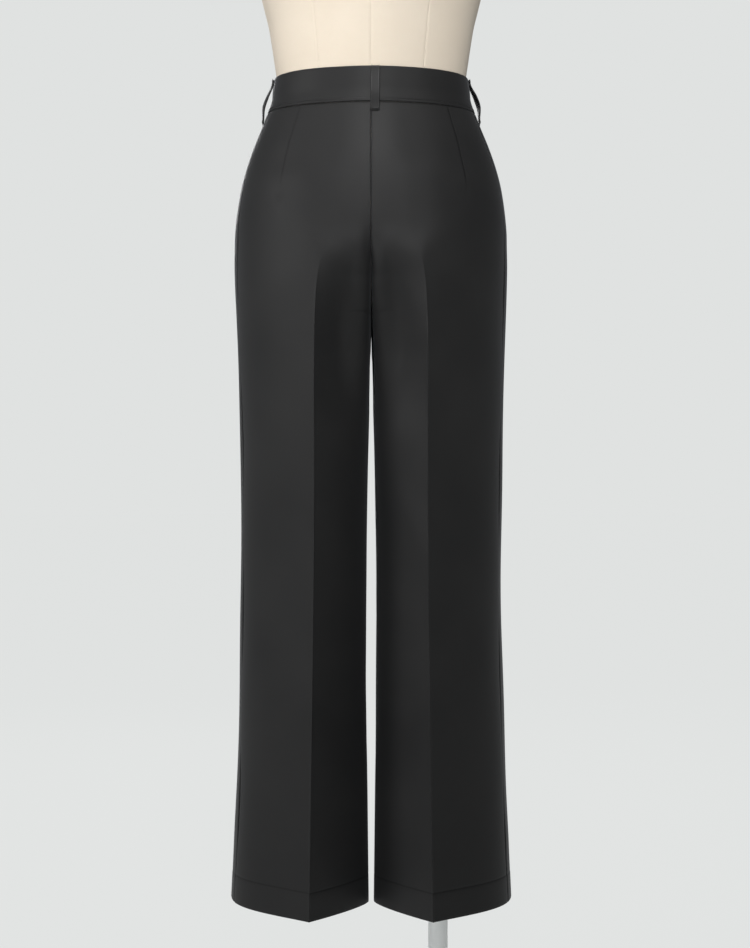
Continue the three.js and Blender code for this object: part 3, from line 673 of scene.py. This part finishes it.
def band_front_right(half):
    places = spread(half.side_seam + SEAM_OPEN / 2, half.end, 40)
    x, y, nx, ny = half.at(places)
    lap = spread(half.where_x(OVERLAP, front=True), half.end, 8)[:-1]
    lx, ly, lnx, lny = half.at(lap)
    x, nx = np.concatenate([lx, -x[::-1]]), np.concatenate([lnx, -nx[::-1]])
    y, ny = np.concatenate([ly, y[::-1]]), np.concatenate([lny, ny[::-1]])
    along = np.concatenate([lap - 2 * half.end, -places[::-1]])
    return x, y, nx, ny, along, OVERLAP_STEP * smooth(x, -20, -2)


for name, path, node in (
    ("band_back", band_back, "waistband_back"),
    ("band_front_left", band_front_left, "waistband_front_left"),
    ("band_front_right", band_front_right, "waistband_front_right"),
):
    piece = wall_mesh(name, *band_surface(path), flip=False)
    made_of(piece, SUITING)
    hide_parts(node)

# Belt loops
# Strips of the suiting folded to 12 mm and topstitched along both edges. Each is sewn down just
# under the waistband's top edge and below its lower seam, and stands out between them.
LOOP_WIDTH = 12
LOOP_CLOTH = 2.3
LOOP_MIDDLE = 32
LOOP_REACH = 27
LOOP_TOP = 0.4
LOOP_END = 58.5
LOOP_TUCK = 1.9  # how far the lower end turns in under itself
LOOP_REST = 0.35  # where it is sewn down it lies this far off the cloth


def section_point(place_of, down, mirror=1):
    """A point on the garment with its outward normal, where place_of says along the section."""
    half = trouser_section(max(0, down))
    x, y, nx, ny = (float(v[0]) for v in half.at([place_of(half)]))
    return np.array([mirror * x, y, float(height_of(down, y))]), np.array([mirror * nx, ny, 0])


def loop_path(place_of, mirror, stand_off):
    """Middle line of a loop's strip, with the way out of the cloth at each point."""
    downs = np.concatenate([
        np.linspace(LOOP_TOP, 8, 8), np.arange(9.2, 54, 1.2), [55, 56.2, 57.4, LOOP_END],
    ])
    points, outs = [], []
    for down in downs:
        point, out = section_point(place_of, down, mirror)
        near = min(1, abs(down - LOOP_MIDDLE) / LOOP_REACH)
        tucked = LOOP_TUCK * float(smooth(down, 55, LOOP_END))
        stand = LOOP_REST + stand_off * math.cos(near * math.pi / 2) ** 2 + LOOP_CLOTH / 2 - tucked
        points.append(point + out * stand)
        outs.append(out)
    return np.array(points), np.array(outs)


def loop_mesh(name, place_of, mirror, slide, lean, stand_off, twist):
    points, outs = loop_path(place_of, mirror, stand_off)
    across = np.cross(outs[0], [0, 0, 1])
    across /= np.linalg.norm(across)
    turn = np.radians(np.arange(0, 360, 15) + 7.5)
    width = LOOP_WIDTH / 2 * np.sign(np.cos(turn)) * np.abs(np.cos(turn)) ** 0.35
    thick = LOOP_CLOTH / 2 * np.sign(np.sin(turn)) * np.abs(np.sin(turn)) ** 0.55
    thick = thick - 0.22 * bump(np.abs(width), LOOP_WIDTH / 2 - 1.6, 0.5) * np.sign(thick)
    rings = []
    for k, point in enumerate(points):
        low, high = points[max(0, k - 1)], points[min(len(points) - 1, k + 1)]
        way = (high - low) / np.linalg.norm(high - low)
        face = np.cross(way, across)
        face *= math.copysign(1, face @ outs[k])
        turned = math.radians(twist) * math.sin(math.pi * k / (len(points) - 1)) ** 2
        wide = math.cos(turned) * across + math.sin(turned) * face
        face = math.cos(turned) * face - math.sin(turned) * across
        tip = 0.72 if k in (0, len(points) - 1) else 1.0
        shift = slide + lean * (k / (len(points) - 1) - 0.5)
        rings.append(
            point + shift * across + np.outer(width * tip, wide) + np.outer(thick * tip, face)
        )
    count = len(turn)
    verts = [tuple(v * MM) for ring in rings for v in ring]
    faces = []
    for r in range(len(rings) - 1):
        for i in range(count):
            j = (i + 1) % count
            faces.append((r * count + i, r * count + j, (r + 1) * count + j, (r + 1) * count + i))
    faces.append(tuple(range(count))[::-1])
    faces.append(tuple((len(rings) - 1) * count + i for i in range(count)))
    mesh = bpy.data.meshes.new(name)
    mesh.from_pydata(verts, [], faces)
    uv = mesh.uv_layers.new(name="cloth")
    for loop in mesh.loops:
        ring, i = divmod(loop.vertex_index, count)
        uv.data[loop.index].uv = (ring * 1.6 * MM, width[i] * MM)
    piece = place_piece(name, mesh, sharp=60)
    shape = bmesh.new()
    shape.from_mesh(mesh)
    bmesh.ops.recalc_face_normals(shape, faces=shape.faces)
    shape.to_mesh(mesh)
    shape.free()
    return piece


LOOPS = [  # name, where along the section, side, sideways, lean, stand-off, twist in degrees
    ("back", lambda half: 0.0, 1, -5, 0.8, 4.6, 0),
    ("side_left", lambda half: half.side, 1, 0, 0.6, 7.2, 19),
    ("side_right", lambda half: half.side, -1, 0, -0.5, 7.2, 17),
    ("front_left", lambda half: half.front_crease, 1, 0, 0.3, 5.6, 3),
    ("front_right", lambda half: half.front_crease, -1, 0, -0.4, 6.2, -2),
]
for name, *shape in LOOPS:
    piece = loop_mesh(f"loop_{name}", *shape)
    made_of(piece, SUITING)
    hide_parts(f"belt_loop_{name}")

# Stitching
# Matching black thread, 2.9 mm a stitch: along the waistband's lower edge, both edges of every
# belt loop, the fly's curve, and bar tacks at the loops' ends.
STITCH_PITCH = 0.0029
STITCH_LENGTH = 0.0022
THREAD_RADIUS = 0.00028


def thread():
    material, nodes, links, shader = start_material("black thread")
    shader.inputs["Roughness"].default_value = 0.45
    shader.inputs["Sheen Weight"].default_value = 0.05
    place = nodes.new("ShaderNodeTexCoord").outputs["Object"]
    twist = texture(nodes, links, "Wave", place, Scale=900)
    twist.bands_direction = "DIAGONAL"
    shade = two_tones(
        nodes, links, twist.outputs["Fac"], (0.0025, 0.0025, 0.0027), (0.0060, 0.0060, 0.0063)
    )
    links.new(shade, shader.inputs["Base Color"])
    return material


THREAD = thread()


def stitch_tree():
    """Lays a short round stitch at every step along each line of a wire mesh."""
    tree = bpy.data.node_groups.new("stitches along a seam", "GeometryNodeTree")
    face = tree.interface
    face.new_socket("Seam lines", in_out="INPUT", socket_type="NodeSocketGeometry")
    for label, value in (("Pitch", STITCH_PITCH), ("Stitch length", STITCH_LENGTH),
                         ("Thread radius", THREAD_RADIUS)):
        socket = face.new_socket(label, in_out="INPUT", socket_type="NodeSocketFloat")
        socket.default_value = value
    face.new_socket("Thread", in_out="INPUT", socket_type="NodeSocketMaterial")
    face.new_socket("Stitches", in_out="OUTPUT", socket_type="NodeSocketGeometry")
    nodes, links = tree.nodes, tree.links
    source, result = nodes.new("NodeGroupInput"), nodes.new("NodeGroupOutput")
    to_curve = nodes.new("GeometryNodeMeshToCurve")
    to_points = nodes.new("GeometryNodeCurveToPoints")
    to_points.mode = "LENGTH"
    turn = nodes.new("FunctionNodeAlignRotationToVector")
    turn.axis = "Z"
    stitch = nodes.new("GeometryNodeMeshCylinder")
    stitch.inputs["Vertices"].default_value = 6
    lay = nodes.new("GeometryNodeInstanceOnPoints")
    real = nodes.new("GeometryNodeRealizeInstances")
    finish = nodes.new("GeometryNodeSetMaterial")
    links.new(source.outputs["Seam lines"], to_curve.inputs["Mesh"])
    links.new(to_curve.outputs["Curve"], to_points.inputs["Curve"])
    links.new(source.outputs["Pitch"], to_points.inputs["Length"])
    links.new(to_points.outputs["Points"], lay.inputs["Points"])
    links.new(to_points.outputs["Tangent"], turn.inputs["Vector"])
    links.new(turn.outputs["Rotation"], lay.inputs["Rotation"])
    links.new(source.outputs["Thread radius"], stitch.inputs["Radius"])
    links.new(source.outputs["Stitch length"], stitch.inputs["Depth"])
    links.new(stitch.outputs["Mesh"], lay.inputs["Instance"])
    links.new(lay.outputs["Instances"], real.inputs["Geometry"])
    links.new(real.outputs["Geometry"], finish.inputs["Geometry"])
    links.new(source.outputs["Thread"], finish.inputs["Material"])
    links.new(finish.outputs["Geometry"], result.inputs["Stitches"])
    return tree


STITCHES = stitch_tree()


def stitch_lines(name, lines, pitch=STITCH_PITCH, length=STITCH_LENGTH, radius=THREAD_RADIUS):
    """A piece of stitches along lines of points given in millimetres."""
    points, edges = [], []
    for line in lines:
        start = len(points)
        points += [tuple(np.asarray(p) * MM) for p in line]
        edges += [(start + i, start + i + 1) for i in range(len(line) - 1)]
    wire = bpy.data.meshes.new(f"{name} lines")
    wire.from_pydata(points, edges, [])
    guide = bpy.data.objects.new(f"{name} lines", wire)
    bpy.context.scene.collection.objects.link(guide)
    modifier = guide.modifiers.new("stitches", "NODES")
    modifier.node_group = STITCHES
    values = {"Pitch": pitch, "Stitch length": length, "Thread radius": radius, "Thread": THREAD}
    for item in STITCHES.interface.items_tree:
        if item.in_out == "INPUT" and item.name in values:
            modifier[item.identifier] = values[item.name]
    sewn = guide.evaluated_get(bpy.context.evaluated_depsgraph_get())
    mesh = bpy.data.meshes.new_from_object(sewn)
    bpy.data.objects.remove(guide)
    piece = bpy.data.objects.new(name, mesh)
    bpy.context.scene.collection.objects.link(piece)
    return made_of(piece, THREAD)


def band_line(path_at, down, lift):
    x, y, nx, ny, _, step = path_at(trouser_section(down))
    reach = BAND_PROUD + step + lift
    return np.stack([x + nx * reach, y + ny * reach, height_of(down, y)], 1)


band_stitches = stitch_lines(
    "stitches_waistband",
    [band_line(path, STITCH_DOWN, 0.0) for path in (band_back, band_front_left, band_front_right)],
)

TACK_HALF = 4.6
LOOP_STITCH_EDGE = LOOP_WIDTH / 2 - 1.6
loop_lines, tack_lines = [], []
for _, place_of, mirror, slide, lean, stand_off, _ in LOOPS:
    points, outs = loop_path(place_of, mirror, stand_off)
    across = np.cross(outs[0], [0, 0, 1])
    shares = np.linspace(-0.5, 0.5, len(points))[:, None]
    sideways = slide + lean * shares
    for edge in (-LOOP_STITCH_EDGE, LOOP_STITCH_EDGE):
        loop_lines.append(points + across * (edge + sideways) + outs * (LOOP_CLOTH / 2 - 0.1))
    for k in (2, -4):
        middle = points[k] + outs[k] * (LOOP_CLOTH / 2 + 0.05) + across * sideways[k]
        for up in (0, 0.7):
            row = [middle + across * w for w in np.linspace(-TACK_HALF, TACK_HALF, 12)]
            tack_lines.append([point + np.array([0, 0, up]) for point in row])
loop_stitches = stitch_lines("stitches_loops", loop_lines)
loop_tacks = stitch_lines("stitches_loop_tacks", tack_lines, pitch=0.0011, length=0.0010)

# The fly's curved stitching, on the wearer's right front beside the centre front seam
FLY_WIDTH = 32
FLY_STRAIGHT = 118
FLY_DEPTH = 60


def fly_line():
    line = []
    for down in np.linspace(BAND + 1.5, FLY_STRAIGHT, 40):
        line.append((down, FLY_WIDTH))
    for turn in np.linspace(0, math.pi / 2 * 0.97, 40):
        line.append((FLY_STRAIGHT + FLY_DEPTH * math.sin(turn), FLY_WIDTH * math.cos(turn)))
    points = []
    for down, away in line:
        half = trouser_section(down)
        x, y, nx, ny = (float(v[0]) for v in half.at([half.end - away]))
        points.append([-(x + nx * 0.1), y + ny * 0.1, float(height_of(down, y))])
    return points


fly_stitches = stitch_lines("stitches_fly", [fly_line()])

# Button
# A flat four-hole button that closes the overlap at the centre front, sewn with crossed thread.
# The plain disc is the frame's own; its rim and thread are added here.


def polish():
    material, nodes, links, shader = start_material("dark button resin")
    shader.inputs["Roughness"].default_value = 0.28
    place = nodes.new("ShaderNodeTexCoord").outputs["Object"]
    swirl = texture(nodes, links, "Noise", place, Scale=160, Distortion=1.5)
    shade = two_tones(
        nodes, links, swirl.outputs["Fac"], (0.008, 0.008, 0.009), (0.032, 0.031, 0.030)
    )
    links.new(shade, shader.inputs["Base Color"])
    return material


BUTTON_RESIN = polish()
RIM_RADIUS, RIM_WIDTH = 8.0, 0.9
RIM_HEIGHT, RIM_ROUND = 1.5, 0.45
THREAD_REACH = 2.3
THREAD_HEIGHT = 1.75
button_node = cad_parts["waist_button"]
button_node.data.materials.clear()
button_node.data.materials.append(BUTTON_RESIN)
low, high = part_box("waist_button")
button_centre = (np.array(low) + np.array(high)) / 2 / MM
_, button_out = section_point(lambda half: half.where_x(button_centre[0], front=True), 22)
button_up = np.array([0, 0.09, 1.0])
button_up /= np.linalg.norm(button_up)
button_side = np.cross(button_up, button_out)
button_side /= np.linalg.norm(button_side)
button_out = np.cross(button_side, button_up)
rim = bpy.data.meshes.new("button_rim")
ring_turns, tube_turns = 48, 10
verts, faces = [], []
for i in range(ring_turns):
    a = 2 * math.pi * i / ring_turns
    for j in range(tube_turns):
        b = 2 * math.pi * j / tube_turns
        reach = RIM_RADIUS + RIM_WIDTH * math.cos(b)
        face = RIM_HEIGHT + RIM_ROUND * math.sin(b)
        spot = button_centre + reach * (math.cos(a) * button_side + math.sin(a) * button_up)
        verts.append(tuple((spot + face * button_out) * MM))
for i in range(ring_turns):
    for j in range(tube_turns):
        k, m = (i + 1) % ring_turns, (j + 1) % tube_turns
        faces.append((
            i * tube_turns + j, k * tube_turns + j, k * tube_turns + m, i * tube_turns + m,
        ))
rim.from_pydata(verts, [], faces)
rim.polygons.foreach_set("use_smooth", [True] * len(rim.polygons))
button_rim = bpy.data.objects.new("button_rim", rim)
bpy.context.scene.collection.objects.link(button_rim)
made_of(button_rim, BUTTON_RESIN)
thread_lines = []
for sign in (1, -1):
    for nudge in (-0.35, 0, 0.35):
        middle = button_centre + THREAD_HEIGHT * button_out + nudge * button_side
        reach = THREAD_REACH * (button_side + sign * button_up)
        thread_lines.append([middle - reach, middle + reach])
button_thread = stitch_lines(
    "stitches_button", thread_lines, pitch=0.0012, length=0.0014, radius=0.0003
)

# Form torso
# A limbless dress form: a padded shell under tightly stretched cream canvas, cut in panels with
# flat seams at the centre, the sides and down the shoulder blades and bust. Sections in mm.
BAND_CLEARANCE = 0.4
HIP_CLEARANCE = 3.5
FORM_BOTTOM = 291
ARM_PLANE = {"up": 229, "x": 158, "slope": 0.1}
TORSO_OVALS = [  # up from the waistband top, side, back, front
    (0, 121.7, 94.2, 89.2),
    (18, 124.4, 95.5, 91),
    (42, 128, 98, 95),
    (66, 132, 101, 100),
    (88, 137.4, 104.5, 106),
    (104, 141.3, 107, 110),
    (140, 149, 110, 118),
    (180, 153.5, 111, 124),
    (215, 156, 109.5, 120),
    (250, 165, 106, 109),
    (280, 177, 101, 98),
    (310, 186, 94, 87),
    (340, 192, 85, 76),
    (360, 190, 77, 69),
    (372, 178, 71, 65),
    (382, 152, 66, 63),
    (393, 122, 61, 61.5),
    (404, 94, 57, 60.5),
    (416, 70, 53, 59),
    (430, 60, 50, 57.5),
    (470, 56, 48, 55),
]
TORSO_ROWS = np.array([oval(*row) for row in TORSO_OVALS], float)
PRINCESS_SHARE = 0.54  # of the half-width


def torso_section(up):
    if up <= 0:
        down = min(BACK_SEAM_TURN, -up)
        hips = smooth(down, BAND, 100)
        inset = 2.4 + BAND_CLEARANCE + (1.5 + HIP_CLEARANCE - 2.4) * hips
        return trouser_section(down), inset
    row = read(TORSO_ROWS, up)
    return HalfSection(row, 0, row["centre_back"], -row["centre_front"]), 0.0


def torso_ring(up, scale=1.0, height=None):
    half, inset = torso_section(up)
    side_x = half.points[:, 0].max()
    back_line = half.where_x(PRINCESS_SHARE * side_x)
    front_line = half.where_x(PRINCESS_SHARE * side_x, front=True)
    stops = [0, back_line, half.side, front_line, half.end]
    runs = [spread(a, b, 9) for a, b in zip(stops, stops[1:])]
    places = np.concatenate([runs[0], *[run[1:] for run in runs[1:]]])
    x, y, nx, ny = half.at(places)
    seam = np.max([bump(places, stop, 0.9) for stop in stops], axis=0)
    twin = np.max([bump(np.abs(places - stop), 2.4, 0.8) for stop in stops], axis=0)
    relief = -inset - 0.5 * seam + 0.12 * twin
    x, y = (x + nx * relief) * scale, (y + ny * relief) * scale
    x[0] = x[-1] = 0
    if up > 0:
        arm_x = ARM_PLANE["x"] + (up - ARM_PLANE["up"]) * ARM_PLANE["slope"]
        x = np.minimum(x, arm_x)
    z = np.full_like(x, height) if height is not None else (
        height_of(-up, y) if up <= 0 else np.full_like(x, WAIST_TOP + up)
    )
    ring = np.stack([x, y, z], 1)
    other = ring[1:-1][::-1] * [-1, 1, 1]
    return np.concatenate([ring, other])


def canvas():
    """Cream canvas: a plain weave of slightly uneven yarns."""
    material, nodes, links, shader = start_material("cream form canvas")
    shader.inputs["Roughness"].default_value = 0.85
    shader.inputs["Sheen Weight"].default_value = 0.08
    shader.inputs["Specular IOR Level"].default_value = 0.25
    place = nodes.new("ShaderNodeTexCoord").outputs["Object"]
    heights = []
    for axis in ("X", "Z"):
        yarn = texture(nodes, links, "Wave", place, Scale=330, Distortion=0.8, Detail=1)
        yarn.bands_direction = axis
        heights.append(yarn.outputs["Fac"])
    slub = texture(nodes, links, "Noise", place, Scale=420, Detail=4)
    weave = nodes.new("ShaderNodeMath")
    weave.operation = "MULTIPLY_ADD"
    links.new(heights[0], weave.inputs[0])
    links.new(heights[1], weave.inputs[1])
    links.new(slub.outputs["Fac"], weave.inputs[2])
    bump_from(nodes, links, weave.outputs["Value"], 0.35, 0.00025)
    patch = texture(nodes, links, "Noise", place, Scale=14, Detail=5)
    tone = two_tones(
        nodes, links, patch.outputs["Fac"],
        (0.510, 0.443, 0.362), (0.538, 0.474, 0.392), 0.3, 0.7,
    )
    fleck = nodes.new("ShaderNodeMix")
    fleck.data_type = "RGBA"
    fleck.blend_type = "MULTIPLY"
    fleck.inputs["Factor"].default_value = 0.05
    links.new(tone, fleck.inputs["A"])
    links.new(slub.outputs["Color"], fleck.inputs["B"])
    links.new(fleck.outputs["Result"], shader.inputs["Base Color"])
    return material


CANVAS = canvas()
torso_rings = []
for tilt in range(84, 3, -6):
    turn = math.radians(tilt)
    level = WAIST_TOP - BACK_SEAM_TURN - (FORM_BOTTOM - BACK_SEAM_TURN) * math.sin(turn)
    torso_rings.append(torso_ring(-BACK_SEAM_TURN, math.cos(turn), level))
torso_levels = [*range(-BACK_SEAM_TURN, 0, 6), 0, *range(5, 350, 5), *range(350, 432, 2)]
for up in [*torso_levels, 440, 455, 468, 470]:
    torso_rings.append(torso_ring(up))
count = len(torso_rings[0])
verts = [tuple(v * MM) for ring in torso_rings for v in ring]
faces = []
for r in range(len(torso_rings) - 1):
    for i in range(count):
        j = (i + 1) % count
        faces.append((r * count + i, (r + 1) * count + i, (r + 1) * count + j, r * count + j))
top_ring = (len(torso_rings) - 1) * count
faces.append(tuple(range(count)))
faces.append(tuple(top_ring + i for i in range(count))[::-1])
mesh = bpy.data.meshes.new("canvas_torso")
mesh.from_pydata(verts, [], faces)
torso = place_piece("canvas_torso", mesh, sharp=40)
made_of(torso, CANVAS)
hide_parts("form_torso")
for node in ("form_neck_cap", "form_arm_plate_left", "form_arm_plate_right"):
    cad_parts[node].data.materials.clear()
    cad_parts[node].data.materials.append(CANVAS)

# Stand
# A round steel base, a collar and one pole that goes up inside the right leg into the form,
# all in matte pale grey paint.


def paint():
    material, nodes, links, shader = start_material("pale grey stand paint")
    place = nodes.new("ShaderNodeTexCoord").outputs["Object"]
    speckle = texture(nodes, links, "Noise", place, Scale=700)
    scuff = texture(nodes, links, "Noise", place, Scale=11, Detail=6)
    shade = two_tones(
        nodes, links, scuff.outputs["Fac"], (0.84, 0.86, 0.855), (0.88, 0.90, 0.895)
    )
    links.new(shade, shader.inputs["Base Color"])
    roughness_from(nodes, links, scuff.outputs["Fac"], 0.4, 0.6)
    bump_from(nodes, links, speckle.outputs["Fac"], 0.1, 0.0001)
    return material


STAND_PAINT = paint()
for node in ("stand_pole", "stand_collar", "stand_base"):
    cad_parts[node].data.materials.clear()
    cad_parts[node].data.materials.append(STAND_PAINT)

# Studio
# A plain pale floor and surround of one tone, a large soft light from the photo's left and a
# smaller one from above the camera. The camera is level, behind the garment.
FLOOR_RADIUS = 30
BOUNCE = 0.075


def floor_finish():
    material, _, _, shader = start_material("pale studio floor")
    shader.inputs["Base Color"].default_value = (0.02, 0.0205, 0.02, 1)
    shader.inputs["Roughness"].default_value = 1.0
    shader.inputs["Specular IOR Level"].default_value = 0.0
    shader.inputs["Emission Color"].default_value = (0.742, 0.757, 0.750, 1)
    shader.inputs["Emission Strength"].default_value = 1.0
    return material


floor_mesh = bpy.data.meshes.new("floor")
edge_points = [
    (FLOOR_RADIUS * math.cos(a), FLOOR_RADIUS * math.sin(a), 0)
    for a in np.linspace(0, 2 * math.pi, 96, endpoint=False)
]
floor_mesh.from_pydata(edge_points, [], [tuple(range(96))])
floor = bpy.data.objects.new("floor", floor_mesh)
bpy.context.scene.collection.objects.link(floor)
floor_mesh.materials.append(floor_finish())

world = bpy.data.worlds.new("pale surround")
world.use_nodes = True
sky_nodes, sky_links = world.node_tree.nodes, world.node_tree.links
surround = sky_nodes["Background"]
surround.inputs["Color"].default_value = (0.745, 0.760, 0.753, 1)
bounce = sky_nodes.new("ShaderNodeBackground")
bounce.inputs["Color"].default_value = (1, 1, 1, 1)
bounce.inputs["Strength"].default_value = BOUNCE
seen = sky_nodes.new("ShaderNodeLightPath")
which = sky_nodes.new("ShaderNodeMixShader")
sky_links.new(seen.outputs["Is Camera Ray"], which.inputs["Fac"])
sky_links.new(bounce.outputs["Background"], which.inputs[1])
sky_links.new(surround.outputs["Background"], which.inputs[2])
sky_links.new(which.outputs["Shader"], sky_nodes["World Output"].inputs["Surface"])
bpy.context.scene.world = world


def soft_light(name, place, aim, size, watts, spread=180):
    light = bpy.data.lights.new(name, "AREA")
    light.spread = math.radians(spread)
    light.shape = "DISK"
    light.size = size
    light.energy = watts
    lamp = bpy.data.objects.new(name, light)
    lamp.location = place
    way = Vector(aim) - Vector(place)
    lamp.rotation_euler = way.to_track_quat("-Z", "Y").to_euler()
    bpy.context.scene.collection.objects.link(lamp)


soft_light("key from the left", (2.64, 1.3, 1.9), (0, 0.05, 0.85), 1.0, 54)
soft_light("light from behind the camera", (-0.05, 2.1, 2.75), (0, 0.08, 1.35), 0.7, 7.3, spread=50)
soft_light("low fill", (1.35, 2.2, 0.4), (-0.05, 0.05, 0.2), 0.9, 1.6, spread=70)
soft_light("light on the garment's front", (0.5, -2.7, 1.9), (0, 0, 0.9), 1.4, 44)

CAMERA_DISTANCE = 2.3
camera_data = bpy.data.cameras.new("camera")
camera_data.sensor_fit = "AUTO"
camera_data.sensor_width = 36
camera_data.lens = 67.7
camera = bpy.data.objects.new("camera", camera_data)
camera.location = (-0.0048, CAMERA_DISTANCE, 0.713)
camera.rotation_euler = (math.radians(90), 0, math.radians(180))
bpy.context.scene.collection.objects.link(camera)
bpy.context.scene.camera = camera
bpy.context.scene.view_settings.view_transform = "Standard"
